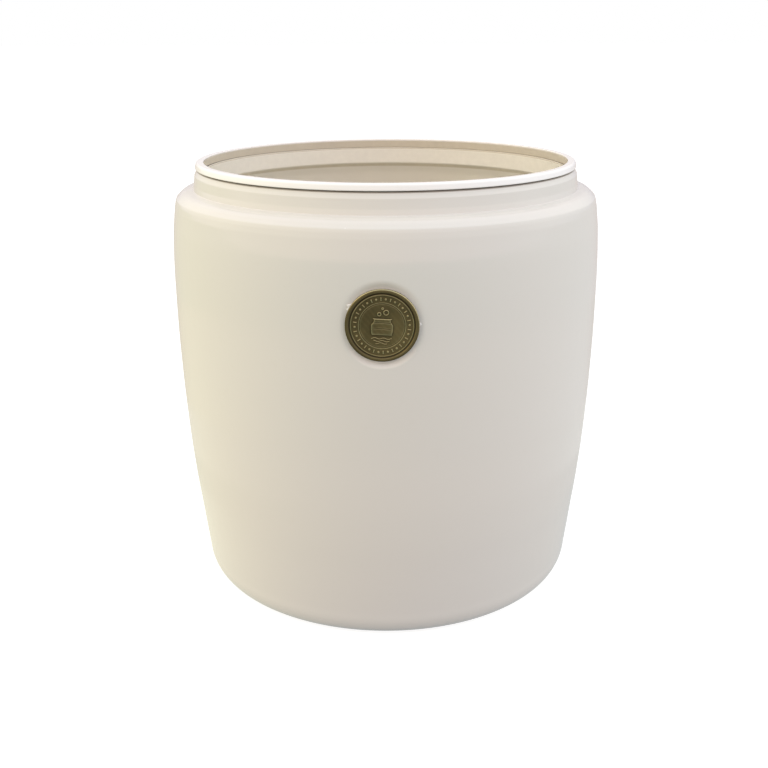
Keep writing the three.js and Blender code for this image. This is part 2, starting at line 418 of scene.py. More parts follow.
def step_at(edge, width, value):
    """0 below the edge, 1 above it, over the given width."""
    return smooth01((value - edge) / width + 0.5)


def band(radius, low, high, width):
    return step_at(low, width, radius) * (1 - step_at(high, width, radius))


def border_relief(radius):
    """Outer rim, a sunk line, a lower shoulder that slopes to the field, and a fine line."""
    height = 0.50 * step_at(BADGE_R - 1.72, 0.75, radius)
    height -= EDGE_FALL * (np.clip(radius - (BADGE_R - EDGE_W), 0, None) / EDGE_W) ** 2
    height += (0.13 * step_at(BADGE_R - 2.95, 0.7, radius)
               * (1 - step_at(BADGE_R - 2.3, 0.3, radius)))
    height -= 0.17 * band(radius, BADGE_R - 2.58, BADGE_R - 2.22, 0.26)
    height -= 0.13 * band(radius, 10.62, 10.86, 0.22)
    height += 0.05 * band(radius, 10.95, 11.3, 0.25)
    return height


def bead_relief(radius, angle):
    """Beads and radial bars in turn round the border."""
    turn = angle / (2 * math.pi) * BEAD_COUNT
    arc = (turn % 1.0 - 0.5) * 2 * math.pi / BEAD_COUNT * BEAD_R
    bead = 1 - np.hypot(arc, radius - BEAD_R) / 0.60
    bar = 1 - np.maximum(np.abs(arc) / 0.34, np.abs(radius - BEAD_R) / 1.0)
    return np.where((np.floor(turn) % 2) == 0,
                    0.20 * np.sqrt(np.clip(bead, 0, 1)), 0.16 * smooth01(bar * 2.2))


def pot_relief(x, y):
    """A small pot with a lip and two sunk lines."""
    neck = 4.1 - 0.3 * smooth01((y - 2.6) / 0.6) + 0.45 * smooth01((y - 3.0) / 0.2)
    body = 5.3 - 1.2 * smooth01((y + 0.2) / 2.3) ** 1.4 - 0.05 * (y + 1.2) ** 2 * (y < -1.2)
    half_width = np.where(y > 2.1, neck, body)
    pot = np.minimum.reduce([half_width - np.abs(x), y + 4.6, 3.5 - y])
    lip = np.minimum(half_width + 0.25 - np.abs(x), 0.32 - np.abs(y - 3.25))
    height = 0.19 * smooth01(pot / 0.42 + 0.15) + 0.10 * smooth01(lip / 0.25 + 0.2)
    upper = 0.17 - np.abs(y - 1.55 + 0.012 * x * x)
    height -= 0.16 * smooth01(upper / 0.16 + 0.3) * (pot > 0.5)
    lower = 0.15 - np.abs(y + 1.3 + 0.02 * x * x)
    height -= 0.12 * smooth01(lower / 0.16 + 0.3) * (pot > 0.6)
    return height


def relief(x, y):
    """Height in mm above the field for a point of the face."""
    radius = np.hypot(x, y)
    height = border_relief(radius) + bead_relief(radius, np.arctan2(y, x)) + pot_relief(x, y)
    # three bubbles over the pot: x, y, radius
    for bubble_x, bubble_y, bubble_r in ((-1.6, 5.6, 1.0), (1.6, 6.5, 1.35), (-0.1, 8.35, 0.6)):
        distance = np.hypot(x - bubble_x, y - bubble_y)
        height += 0.18 * band(distance, bubble_r - 0.42, bubble_r, 0.26)
    # three ripples under the pot, each shorter than the one above
    for k, ripple_y in enumerate((-6.1, -7.35, -8.5)):
        wave = ripple_y + 0.28 * np.sin(x * 1.5 + k)
        line = np.minimum(0.2 - np.abs(y - wave), (4.9 - 1.1 * k) - np.abs(x))
        height += 0.14 * smooth01(line / 0.2 + 0.25)
    return height


def struck_face(x, y):
    """The relief, slightly turned, with hand-struck unevenness."""
    turned_x = x * math.cos(TILT) + y * math.sin(TILT)
    turned_y = -x * math.sin(TILT) + y * math.cos(TILT)
    return (relief(turned_x, turned_y) + 0.010 * np.sin(x * 0.9 + 1.3) * np.cos(y * 0.7)
            + 0.005 * np.sin(x * 2.3 + y * 1.9))


def medallion_rings():
    """Rings of points from the centre of the face, round the edge, to the centre of the back."""
    count = 540
    angles = np.linspace(0, 2 * math.pi, count, endpoint=False)
    cos, sin = np.cos(angles), np.sin(angles)

    def ring(radius, depth):
        return np.stack([cos * radius, sin * radius, depth], 1)

    centre = struck_face(np.zeros(1), np.zeros(1))[0]
    rings = [np.array([[0.0, 0.0, FIELD_DEPTH - centre]])]
    for radius in np.linspace(0, BADGE_R - ROLL, 150)[1:]:
        rings.append(ring(radius, FIELD_DEPTH - struck_face(radius * cos, radius * sin)))
    # rolled edge: a Bezier curve on from the slope of the face to the upright side
    slope = 2 * EDGE_FALL * (EDGE_W - ROLL) / EDGE_W ** 2
    t = np.linspace(0, 1, 12)[1:, None]
    b = np.array([[0.0, 0.0], [0.24, 0.24 * slope], [ROLL, 0.30], [ROLL, ROLL_DROP]])
    roll = ((1 - t) ** 3 * b[0] + 3 * (1 - t) ** 2 * t * b[1]
            + 3 * (1 - t) * t ** 2 * b[2] + t ** 3 * b[3])
    edge = rings[-1][:, 2]
    for out, drop in roll:
        even = drop / ROLL_DROP
        rings.append(ring(BADGE_R - ROLL + out, edge * (1 - even) + edge.mean() * even + drop))
    # upright side, a small radius at the back, and the back
    side = fillet([
        (BADGE_R, float(edge.mean()) + ROLL_DROP, 0), (BADGE_R, BADGE_DEPTH, 0.22),
        (BADGE_R - 0.7, BADGE_DEPTH, 0),
    ], step=0.05)[1:]
    back = [(BADGE_R * 0.66, BADGE_DEPTH), (BADGE_R * 0.33, BADGE_DEPTH)]
    for radius, depth in np.vstack([resample(side, 0.12), back])[1:]:
        rings.append(ring(radius, np.full(count, depth)))
    rings.append(np.array([[0.0, 0.0, BADGE_DEPTH]]))
    return rings


def blurred(image, sigma):
    """Gaussian blur of a square grid, sigma in cells."""
    reach = int(3 * sigma) + 1
    kernel = gaussian(reach, sigma)
    image = np.pad(image, reach, mode="edge")
    for axis in (0, 1):
        image = np.apply_along_axis(
            lambda line: np.convolve(line, kernel, mode="valid"), axis, image)
    return image


def medallion_wear_and_shading(points):
    """Where dirt settles and where hands rub, 0 to 1 on the face, with painted shade on the border
    and side and a painted highlight along the top of the edge: the darkening first, then the
    brightening.
    """
    count = 480
    grid = np.linspace(-BADGE_R, BADGE_R, count)
    cell = grid[1] - grid[0]
    grid_x, grid_y = np.meshgrid(grid, grid, indexing="xy")
    heights = np.where(np.hypot(grid_x, grid_y) < BADGE_R - 0.15,
                       struck_face(grid_x, grid_y), 0.5)
    near = heights - blurred(heights, 0.30 / cell)
    wide = heights - blurred(heights, 0.85 / cell)
    hollow = np.clip(-near / 0.060, 0, 1) * 0.75 + np.clip(-wide / 0.11, 0, 1) * 0.5
    raised = np.clip(near / 0.055, 0, 1) * 0.7 + np.clip(wide / 0.13, 0, 1) * 0.4

    x, y, depth = points.T
    radius = np.hypot(x, y)
    on_front = depth < BADGE_DEPTH * 0.6
    on_face = (radius < BADGE_R - 0.30) & on_front

    def sample(image):
        """Bilinear value of the grid at every point of the face, 0 elsewhere."""
        image = np.clip(image, 0, 1)
        column = np.clip((x + BADGE_R) / cell, 0, count - 1.001)
        row = np.clip((y + BADGE_R) / cell, 0, count - 1.001)
        i, j = column.astype(int), row.astype(int)
        right, up = column - i, row - j
        value = ((image[j, i] * (1 - right) + image[j, i + 1] * right) * (1 - up)
                 + (image[j + 1, i] * (1 - right) + image[j + 1, i + 1] * right) * up)
        return np.where(on_face, value, 0.0)

    # the border is darkened all round, a little less towards the top: painted shade; along the top
    # its rolled edge is kept clear of it for a painted highlight
    facing = (0.35 * x + 0.94 * y) / np.maximum(radius, 1e-6)
    top = smooth01((facing + 0.25) / 1.0)
    border = smooth01((radius - (BADGE_R - 2.5)) / 0.5) * on_front

    # outer edge towards the top, where the painted highlight sits
    top_edge_highlight = smooth01((radius - (BADGE_R - 0.6)) / 0.3) * top
    cavity_and_shade = np.maximum(sample(hollow), border * (0.34 - 0.12 * top) * (1 - top_edge_highlight))
    # painted shade on the upright side of the medallion, darkest towards the wall
    side_shade = smooth01((depth - 0.6) / 0.3) * 0.8
    cavity_and_shade = np.where(radius > BADGE_R - 0.05, np.maximum(cavity_and_shade, side_shade), cavity_and_shade)

    # raised relief rubbed bright, plus a painted highlight on the rolled edge, brightest along the
    # top
    edge = (smooth01((radius - (BADGE_R - 0.55)) / 0.3)
            * (1 - smooth01((depth - 0.65) / 0.25)))
    crest_and_highlight = np.maximum(sample(raised) * (1 - 0.85 * border), 1.45 * top * edge)
    return cavity_and_shade, crest_and_highlight


def make_medallion():
    rings = medallion_rings()
    placed = [
        np.stack([ring[:, 0], BADGE_FRONT + ring[:, 2], BADGE_Z + ring[:, 1]], 1)
        for ring in rings
    ]
    ob = loft("medallion", placed)
    cavity_and_shade, crest_and_highlight = medallion_wear_and_shading(np.vstack(rings))
    add_attribute(ob, "cavity_and_shade", cavity_and_shade)
    add_attribute(ob, "crest_and_highlight", crest_and_highlight)
    return ob


# ---------------------------------------------------------------------------------------------
# the adhesive behind the medallion: a thin wavy disc that bulges in five places
# ---------------------------------------------------------------------------------------------

# angle in degrees from +X towards +Z, reach in mm, width in radians
BULGES = [(149, 1.75, 0.050), (155, 1.2, 0.035), (1, 1.35, 0.045), (196, 0.8, 0.10),
          (262, 0.7, 0.16)]


def make_adhesive():
    angles = np.linspace(0, 2 * math.pi, 256, endpoint=False)
    edge = (16.9 + 0.35 * np.sin(3 * angles + 0.6) + 0.22 * np.sin(7 * angles + 2.1)
            + 0.12 * np.sin(13 * angles))
    for degrees, reach, width in BULGES:
        away = (angles - math.radians(degrees) + math.pi) % (2 * math.pi) - math.pi
        edge = edge + reach * np.exp(-((away / width) ** 2))
    thick = PAD_BACK - PAD_FRONT
    section = [  # share of the edge radius, depth from the front
        (0.0, 0.0), (0.35, 0.0), (0.7, 0.0), (0.9, 0.0), (0.965, 0.03), (0.99, 0.14),
        (1.0, 0.27), (0.99, 0.39), (0.965, 0.47), (0.9, thick), (0.7, thick), (0.35, thick),
        (0.0, thick),
    ]
    rings = []
    for share, depth in section:
        y = PAD_FRONT + depth
        if share == 0.0:
            rings.append(np.array([[0.0, y, BADGE_Z]]))
        else:
            rings.append(np.stack([share * edge * np.cos(angles), np.full(len(angles), y),
                                   BADGE_Z + share * edge * np.sin(angles)], 1))
    return loft("medallion_adhesive", rings)


# ---------------------------------------------------------------------------------------------
# the two half-moon weights
# ---------------------------------------------------------------------------------------------

STRAIGHT_X = 2.0  # straight side of the half-moon
TIP_R = 9.2  # round tips of the half-moon
NOTCH_R, MOUTH_R = 13.0, 3.0  # notch at the crock's axis and the rounding of its mouth
HOLE_X, HOLE_R = 50, 9  # brine hole
WEIGHT_EDGE_R = 2.7  # round edge between the faces and the sides


def arc(x, y, radius, angles):
    return [(x + radius * math.cos(t), y + radius * math.sin(t)) for t in angles]


def weight_outline(outer_r):
    """Loops of the half-moon on the +X side: outline, then the brine hole."""
    tip_x, mouth_x = STRAIGHT_X + TIP_R, STRAIGHT_X + MOUTH_R
    tip_y = math.sqrt((outer_r - TIP_R) ** 2 - tip_x ** 2)
    mouth_y = math.sqrt((NOTCH_R + MOUTH_R) ** 2 - mouth_x ** 2)
    tip_at = math.atan2(tip_y, tip_x)
    mouth_at = math.atan2(mouth_y, mouth_x)
    mouth_end = math.atan2(-mouth_y, -mouth_x) + 2 * math.pi
    outline = (
        arc(0, 0, outer_r, np.linspace(-tip_at, tip_at, 160))
        + arc(tip_x, tip_y, TIP_R, np.linspace(tip_at, math.pi, 22)[1:])
        + arc(mouth_x, mouth_y, MOUTH_R, np.linspace(math.pi, mouth_end, 10))
        + arc(0, 0, NOTCH_R, np.linspace(mouth_at, -mouth_at, 40)[1:-1])
        + arc(mouth_x, -mouth_y, MOUTH_R, np.linspace(-mouth_end, -math.pi, 10))
        + arc(tip_x, -tip_y, TIP_R, np.linspace(-math.pi, -tip_at, 22)[:-1])
    )
    hole = arc(HOLE_X, 0, HOLE_R, np.linspace(0, 2 * math.pi, 48, endpoint=False))
    return [outline, hole[::-1]]


def inset(loop, distance):
    """Loop moved by the distance to the left of its direction of travel."""
    points = np.array(loop, float)
    before, after = points - np.roll(points, 1, 0), np.roll(points, -1, 0) - points
    before /= np.linalg.norm(before, axis=1)[:, None]
    after /= np.linalg.norm(after, axis=1)[:, None]
    tangent = before + after
    tangent /= np.linalg.norm(tangent, axis=1)[:, None]
    return points + np.stack([-tangent[:, 1], tangent[:, 0]], 1) * distance


def weight_slab(name, outer_r, half):
    """Coarse slab: the loops roll over a round edge and are closed by flat faces."""
    edge = WEIGHT_EDGE_R
    upper = [(edge * (1 - math.sin(a)), half - edge + edge * math.cos(a))
             for a in np.linspace(0, math.pi / 2, 8)]
    levels = upper + [(distance, -z) for distance, z in upper[::-1]]
    verts, faces, caps = [], [], {0: [], len(levels) - 1: []}
    for loop in weight_outline(outer_r):
        count, start = len(loop), len(verts)
        for k, (distance, z) in enumerate(levels):
            points = inset(loop, distance)
            if k in caps:
                caps[k].append((len(verts), points))
            verts.extend((x, y, z) for x, y in points)
        for k in range(len(levels) - 1):
            for i in range(count):
                a, b = start + k * count + i, start + k * count + (i + 1) % count
                faces.append((a, a + count, b + count, b))
    for parts in caps.values():
        index = [at + i for at, points in parts for i in range(len(points))]
        loops = [[Vector((x, y, 0)) for x, y in points] for _, points in parts]
        for triangle in tessellate_polygon(loops):
            faces.append(tuple(index[i] for i in triangle))
    ob = new_object(name, verts, faces)
    bm = bmesh.new()
    bm.from_mesh(ob.data)
    bmesh.ops.recalc_face_normals(bm, faces=bm.faces)
    bm.to_mesh(ob.data)
    bm.free()
    return ob


def remesh_soft(ob):
    """Even mesh, relaxed so that the glaze runs softly over every edge."""
    weld = ob.modifiers.new("weld", "WELD")
    weld.merge_threshold = 0.00005
    remesh = ob.modifiers.new("remesh", "REMESH")
    remesh.mode = "VOXEL"
    remesh.voxel_size = 0.0011
    remesh.adaptivity = 0.0
    smooth = ob.modifiers.new("smooth", "SMOOTH")
    smooth.iterations = 4
    smooth.factor = 0.5
    depsgraph = bpy.context.evaluated_depsgraph_get()
    mesh = bpy.data.meshes.new_from_object(ob.evaluated_get(depsgraph))
    ob.modifiers.clear()
    ob.data = mesh
    return mesh


def make_weight(name, side, node):
    """Half-moon slab on the given side of x = 0 (1 or -1), built on +X and mirrored."""
    low, high = box_mm(node)
    bottom, top = low[2], high[2]
    half = (top - bottom) / 2
    ob = weight_slab(name, max(high[0], -low[0]), half)
    mesh = remesh_soft(ob)
    points = np.zeros(len(mesh.vertices) * 3)
    mesh.vertices.foreach_get("co", points)
    points = points.reshape(-1, 3) / MM
    if side < 0:
        points[:, 0] *= -1
        mesh.flip_normals()
    x, y, z = points.T
    # hand-pressed unevenness of the upper half, kept inside the CAD slab
    press = (0.10 * np.sin(x * 0.11 + side) * np.cos(y * 0.09)
             + 0.05 * np.sin(x * 0.31 + y * 0.23))
    points[:, 2] = ((bottom + top) / 2 + np.clip(z, -half, half) * (1 - 0.015)
                    + np.where(z > 0, press - 0.1, 0))
    mesh.vertices.foreach_set("co", (points * MM).ravel())
    mesh.polygons.foreach_set("use_smooth", [True] * len(mesh.polygons))
    mesh.update()
    return ob


vessel = make_vessel()
ring = make_ring()
badge = make_medallion()
pad = make_adhesive()
weight_r = make_weight("half_moon_right", 1, "weight_right")
weight_l = make_weight("half_moon_left", -1, "weight_left")


# ---------------------------------------------------------------------------------------------
# shader helper
# ---------------------------------------------------------------------------------------------

class Shader:
    """Builds the node tree of a material or a world."""

    def __init__(self, owner, output="OutputMaterial"):
        owner.use_nodes = True
        self.owner = owner
        self.tree = owner.node_tree
        self.tree.nodes.clear()
        self.output = self.add(output)

    def plug(self, socket, value):
        """Link or set a socket; None leaves it alone, and a colour gets its alpha."""
        if isinstance(value, bpy.types.NodeSocket):
            self.tree.links.new(value, socket)
        elif value is not None:
            socket.default_value = (*value, 1.0) if socket.type == "RGBA" else value

    def add(self, kind, *values, settings={}, **inputs):
        """New node; values fill its first inputs, keywords its named ones ("_" for space)."""
        node = self.tree.nodes.new("ShaderNode" + kind)
        for key, value in settings.items():
            setattr(node, key, value)
        for socket, value in zip(node.inputs, values):
            self.plug(socket, value)
        for key, value in inputs.items():
            self.plug(node.inputs[key.replace("_", " ")], value)
        return node

    def math(self, operation, *values, clamp=False):
        settings = {"operation": operation, "use_clamp": clamp}
        return self.add("Math", *values, settings=settings).outputs[0]

    def times(self, first, *others):
        for other in others:
            first = self.math("MULTIPLY", first, other)
        return first

    def ramp(self, value, over, to=(0.0, 1.0)):
        """Smooth step from to[0] to to[1] while the value runs over the given span."""
        return self.add(
            "MapRange", Value=value, From_Min=over[0], From_Max=over[1], To_Min=to[0],
            To_Max=to[1], settings={"interpolation_type": "SMOOTHSTEP"}).outputs["Result"]

    def mix(self, factor, a, b):
        node = self.add("Mix", settings={"data_type": "RGBA", "clamp_factor": True})
        for i, value in ((0, factor), (6, a), (7, b)):
            self.plug(node.inputs[i], value)
        return node.outputs[2]

    def noise(self, point, scale, detail, roughness=0.5):
        return self.add("TexNoise", Vector=point, Scale=scale, Detail=detail,
                        Roughness=roughness).outputs["Fac"]

    def bump(self, height, strength, distance, normal=None):
        return self.add("Bump", Strength=strength, Distance=distance, Height=height,
                        Normal=normal).outputs["Normal"]

    def attribute(self, name):
        return self.add("Attribute", settings={"attribute_name": name}).outputs["Fac"]

    def object_point(self):
        return self.add("TexCoord").outputs["Object"]

    def split(self, point):
        return self.add("SeparateXYZ", Vector=point).outputs

    def axis_distance(self, xyz):
        """Distance from the Z axis."""
        square = self.math("ADD", self.times(xyz[0], xyz[0]), self.times(xyz[1], xyz[1]))
        return self.math("SQRT", square, 0.0)

    def scaled(self, vector, factor, **settings):
        settings["operation"] = "SCALE"
        return self.add("VectorMath", vector, Scale=factor, settings=settings).outputs[0]

    def total(self, terms):
        """Chain of vector additions."""
        result = terms[0]
        for term in terms[1:]:
            result = self.add("VectorMath", result, term, settings={"operation": "ADD"}).outputs[0]
        return result

    def finish(self, surface):
        self.plug(self.output.inputs["Surface"], surface.outputs[0])
        return self.owner

    def finish_for_camera(self, unseen, seen):
        """Show the camera one shader and light the scene with the other."""
        camera_ray = self.add("LightPath").outputs["Is Camera Ray"]
        return self.finish(
            self.add("MixShader", camera_ray, unseen.outputs[0], seen.outputs[0]))


# ---------------------------------------------------------------------------------------------
# glazes
# ---------------------------------------------------------------------------------------------

GLAZE_COAT = 0.35
GAP_SHADE = (0.36, 0.32, 0.27)  # painted shade on the faces in the gap where the ring sits on the neck
INNER_EDGE_SHADE = (0.66, 0.60, 0.49)  # painted shade on the inner face of the ring and the inner edge of the neck top

# Bands laid over the glaze, mostly painted shade: r from, r to, z from, z to in mm, colour, added
# roughness, soft edge
VESSEL_ZONES = [
    # first two rows: faces in the gap under the ring, painted shade
    (103.0, 104.5, 234.0, 236.6, GAP_SHADE, 0.5, 0.06),
    (101.3, 103.5, 234.0, 236.3, GAP_SHADE, 0.5, 0.06),
    # inner edge of the neck top: painted shade
    (100.0, 101.4, 233.8, 235.0, INNER_EDGE_SHADE, 0.1, 0.25),
    # neck's inner wall: painted lighter than the outside glaze, less than the rest of the inside
    (100.0, 101.0, 225.7, 233.7, (0.845, 0.81, 0.712), 0.0, 0.3),
    # under the inner lip of the neck: painted shade
    (100.0, 103.6, 222.5, 224.4, (0.74, 0.68, 0.54), 0.0, 0.35),
]
RING_ZONES = [
    # ring's underside and collar in the gap: painted shade
    (102.0, 104.9, 234.3, 236.75, GAP_SHADE, 0.5, 0.06),
    # ring's inner face: painted shade
    (99.0, 101.7, 234.0, 239.0, INNER_EDGE_SHADE, 0.2, 0.3),
]


def glaze_spots(shader, point):
    """Masks of sparse iron specks and of pale pinholes where the glaze has bubbled."""
    cells = shader.add("TexVoronoi", Vector=point, Scale=58.0, Randomness=1.0).outputs
    pick = shader.add("SeparateColor", Color=cells["Color"]).outputs
    # most spots are small, a few are large
    size = shader.math("ADD", shader.times(shader.math("POWER", pick[1], 3.0), 0.040), 0.006)
    share = shader.math("DIVIDE", cells["Distance"], size)
    spot = shader.math("SUBTRACT", 1.0, share, clamp=True)
    return [
        shader.times(shader.ramp(spot, over=(0.0, 0.5)), shader.math(test, pick[0], limit))
        for test, limit in (("GREATER_THAN", 0.955), ("LESS_THAN", 0.03))
    ]


def bare_foot(shader, point, xyz, radius, colour, rough, normal):
    """Bare clay under the foot and along a wavering line at its edge; also returns its mask."""
    z = xyz[2]
    grain = shader.noise(point, scale=900.0, detail=5.0, roughness=0.65)
    coarse = shader.noise(point, scale=170.0, detail=4.0, roughness=0.6)
    under = shader.times(shader.math("LESS_THAN", z, 0.0031),
                         shader.math("LESS_THAN", radius, 0.0955))
    wobble = shader.times(shader.noise(point, scale=60.0, detail=3.0), 0.0009)
    line = shader.math("LESS_THAN", z, shader.math("ADD", 0.00015, wobble))
    bare = shader.math("MAXIMUM", under, line)
    clay = shader.mix(
        shader.ramp(coarse, over=(0.35, 0.7)), (0.56, 0.44, 0.31), (0.70, 0.58, 0.44))
    dark = shader.ramp(grain, over=(0.60, 0.72), to=(0.0, 0.6))
    clay = shader.mix(dark, clay, (0.34, 0.24, 0.15))
    # grog catches the light on the wiped foot
    grog = shader.ramp(grain, over=(0.40, 0.28), to=(0.0, 0.4))
    clay = shader.mix(grog, clay, (0.80, 0.70, 0.56))
    colour = shader.mix(bare, colour, clay)
    rough = shader.math("ADD", rough, shader.times(bare, 0.62))
    sand = shader.times(shader.math("ADD", grain, shader.times(coarse, 0.8)), bare)
    normal = shader.bump(sand, strength=0.55, distance=0.00025, normal=normal)
    return colour, rough, normal, bare


def zone_band(shader, point, z, radius, zone, colour, rough):
    """One row of a zone table laid over the glaze."""
    r_from, r_to, z_from, z_to, tint, more, edge = zone
    soft = edge * MM
    sides = ((radius, r_from, 1), (radius, r_to, -1), (z, z_from, 1), (z, z_to, -1))
    mask = shader.times(*[
        shader.ramp(value, over=(limit * MM - sign * soft, limit * MM + sign * soft))
        for value, limit, sign in sides
    ])
    grain = shader.noise(point, scale=300.0, detail=4.0, roughness=0.6)
    shade = shader.ramp(grain, over=(0.3, 0.7), to=(0.98, 1.02))
    colour = shader.mix(mask, colour, shader.scaled(tint, shade))
    return colour, shader.math("ADD", rough, shader.times(mask, more))


def glaze(name, base, warm, cool, roughness, seed, speckle=0.5, lit_lining=None, foot=False,
          zones=()):
    """Glazed stoneware: slow colour drift, sparse specks, faint orange peel and pinholes."""
    shader = Shader(bpy.data.materials.new(name))
    place = shader.object_point()
    point = shader.add("Mapping", Vector=place,
                       Location=(seed, seed * 0.7, seed * 1.3)).outputs["Vector"]

    drift = shader.noise(point, scale=7.0, detail=2.0, roughness=0.45)
    colour = shader.mix(shader.ramp(drift, over=(0.30, 0.70)), warm, cool)
    colour = shader.mix(0.55, colour, base)
    # painted light: the inside of the vessel takes the lighter colour
    if lit_lining is not None:
        inside = shader.ramp(shader.attribute("lit_lining"), over=(0.2, 0.8))
        colour = shader.mix(inside, colour, lit_lining)
    fleck = shader.noise(point, scale=260.0, detail=3.0, roughness=0.6)
    fleck = shader.ramp(fleck, over=(0.55, 0.80), to=(0.0, 0.05))
    colour = shader.mix(fleck, colour, (0.62, 0.56, 0.46))
    speck, pale = glaze_spots(shader, point)
    colour = shader.mix(shader.times(speck, speckle), colour, (0.36, 0.28, 0.19))
    colour = shader.mix(shader.times(pale, speckle), colour, (0.90, 0.88, 0.83))

    rough = shader.ramp(shader.noise(point, scale=30.0, detail=2.0), over=(0.3, 0.7),
                        to=(roughness * 0.96, roughness * 1.04))
    peel = shader.noise(point, scale=420.0, detail=2.0, roughness=0.45)
    swell = shader.noise(point, scale=45.0, detail=1.0, roughness=0.4)
    height = shader.math("ADD", shader.times(peel, 0.10), shader.times(swell, 0.25))
    pits = shader.times(shader.math("ADD", speck, pale), 0.30)
    height = shader.math("SUBTRACT", height, pits)
    normal = shader.bump(height, strength=0.08, distance=0.00030)

    coat = GLAZE_COAT
    if foot or zones:
        xyz = shader.split(place)
        radius = shader.axis_distance(xyz)
    if foot:
        colour, rough, normal, bare = bare_foot(
            shader, point, xyz, radius, colour, rough, normal)
        coat = shader.times(shader.math("SUBTRACT", 1.0, bare), GLAZE_COAT)
    for zone in zones:
        colour, rough = zone_band(shader, point, xyz[2], radius, zone, colour, rough)
    return shader.finish(shader.add(
        "BsdfPrincipled", IOR=1.5, Base_Color=colour, Roughness=rough, Normal=normal,
        Coat_Weight=coat, Coat_Roughness=0.06))


# the vessel's inside colour is painted light, lighter than its outside glaze
vessel.data.materials.append(glaze(
    "cream_glaze", base=(0.735, 0.706, 0.645), warm=(0.741, 0.707, 0.641),
    cool=(0.729, 0.706, 0.651), roughness=0.13, seed=0.31, lit_lining=(0.885, 0.850, 0.755),
    foot=True, zones=VESSEL_ZONES))
ring.data.materials.append(glaze(
    "white_glaze", base=(0.925, 0.90, 0.86), warm=(0.928, 0.90, 0.853),
    cool=(0.922, 0.90, 0.867), roughness=0.13, seed=1.7, speckle=0.2, zones=RING_ZONES))
for weight, weight_seed in ((weight_r, 2.9), (weight_l, 4.3)):
    weight.data.materials.append(glaze(
        "weight_glaze_%s" % weight.name, base=(0.70, 0.665, 0.59), warm=(0.708, 0.664, 0.578),
        cool=(0.692, 0.665, 0.602), roughness=0.34, seed=weight_seed, speckle=0.8))


# ---------------------------------------------------------------------------------------------
# brass and adhesive
# ---------------------------------------------------------------------------------------------

BRASS_FIELD = (0.142, 0.110, 0.046)
BRASS_HIGH = (0.58, 0.50, 0.26)


def toned(colour, factor):
    return tuple(factor * c for c in colour)


def brass():
    """Antiqued brass: dark olive patina, dirt in the cavities, rubbed bright on the crests; painted
    shade on the border and side, and a painted highlight along the top of the edge.
    """
    shader = Shader(bpy.data.materials.new("antique_brass"))
    point = shader.object_point()
    xyz = shader.split(point)
    cavity_and_shade, crest_and_highlight = shader.attribute("cavity_and_shade"), shader.attribute("crest_and_highlight")
    fine = shader.noise(point, scale=2600.0, detail=4.0, roughness=0.6)
    mid = shader.noise(point, scale=420.0, detail=4.0, roughness=0.6)
    broad = shader.noise(point, scale=85.0, detail=3.0)
    colour = shader.mix(shader.ramp(broad, over=(0.34, 0.68)),
                        toned(BRASS_FIELD, 0.84), toned(BRASS_FIELD, 1.18))
    # lighter towards the lower right
    side = shader.math("SUBTRACT", shader.times(xyz[0], 0.75),
                       shader.math("SUBTRACT", xyz[2], BADGE_Z * MM))
    lighter_lower_right = shader.ramp(side, over=(-0.016, 0.020), to=(0.0, 0.35))
    colour = shader.mix(lighter_lower_right, colour, toned(BRASS_FIELD, 1.9))
    high = shader.mix(shader.ramp(mid, over=(0.3, 0.7)), toned(BRASS_HIGH, 0.8), BRASS_HIGH)
    # rubbed crests and the painted highlight along the top edge
    colour = shader.mix(shader.times(crest_and_highlight, 0.68), colour, high)
    # dirt in the hollows, with painted shade on the border and side
    colour = shader.mix(shader.times(cavity_and_shade, 0.85), colour, (0.030, 0.023, 0.011))
    stain = shader.ramp(fine, over=(0.60, 0.72), to=(0.0, 0.30))
    colour = shader.mix(stain, colour, (0.055, 0.044, 0.020))
    rough = shader.math("SUBTRACT", shader.ramp(mid, over=(0.25, 0.75), to=(0.44, 0.58)),
                        shader.times(crest_and_highlight, 0.14))
    height = shader.math("ADD", shader.times(fine, 0.4), mid)
    return shader.finish(shader.add(
        "BsdfPrincipled", Metallic=0.9, Base_Color=colour, Roughness=rough,
        Normal=shader.bump(height, strength=0.22, distance=0.00009)))


def glue():
    """Off-white adhesive with a finely uneven skin."""
    shader = Shader(bpy.data.materials.new("adhesive"))
    grain = shader.noise(shader.object_point(), scale=700.0, detail=3.0)
    colour = shader.mix(
        shader.ramp(grain, over=(0.3, 0.7)), (0.80, 0.78, 0.72), (0.90, 0.885, 0.85))
    return shader.finish(shader.add(
        "BsdfPrincipled", Roughness=0.45, Base_Color=colour,
        Normal=shader.bump(grain, strength=0.3, distance=0.0002)))


badge.data.materials.append(brass())
pad.data.materials.append(glue())

# every piece rides on its CAD body and stands for its CAD node
for piece, body, node, slot in (
    (vessel, "crock", "crock_body", "cream_glaze"),
    (ring, "ring", "rim_ring", "white_glaze"),
    (badge, "crock", "badge", "antique_brass"),
    (pad, "crock", "badge_pad", "adhesive"),
    (weight_l, "left_weight", "weight_left", "weight_glaze"),
    (weight_r, "right_weight", "weight_right", "weight_glaze"),
):
    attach(piece, body)
    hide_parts(node)

# ---------------------------------------------------------------------------------------------
# floor: the camera sees it white; what it gives back to the crock is laid out in rings
# ---------------------------------------------------------------------------------------------

FLOOR_HALF = 25.0
FLOOR_GREY = (0.36, 0.36, 0.36)
FLOOR_GLOW = 0.80
FLOOR_EDGES = [0.0, 0.175, 0.222, 0.320, 0.700, 60.0]  # ring radii in metres
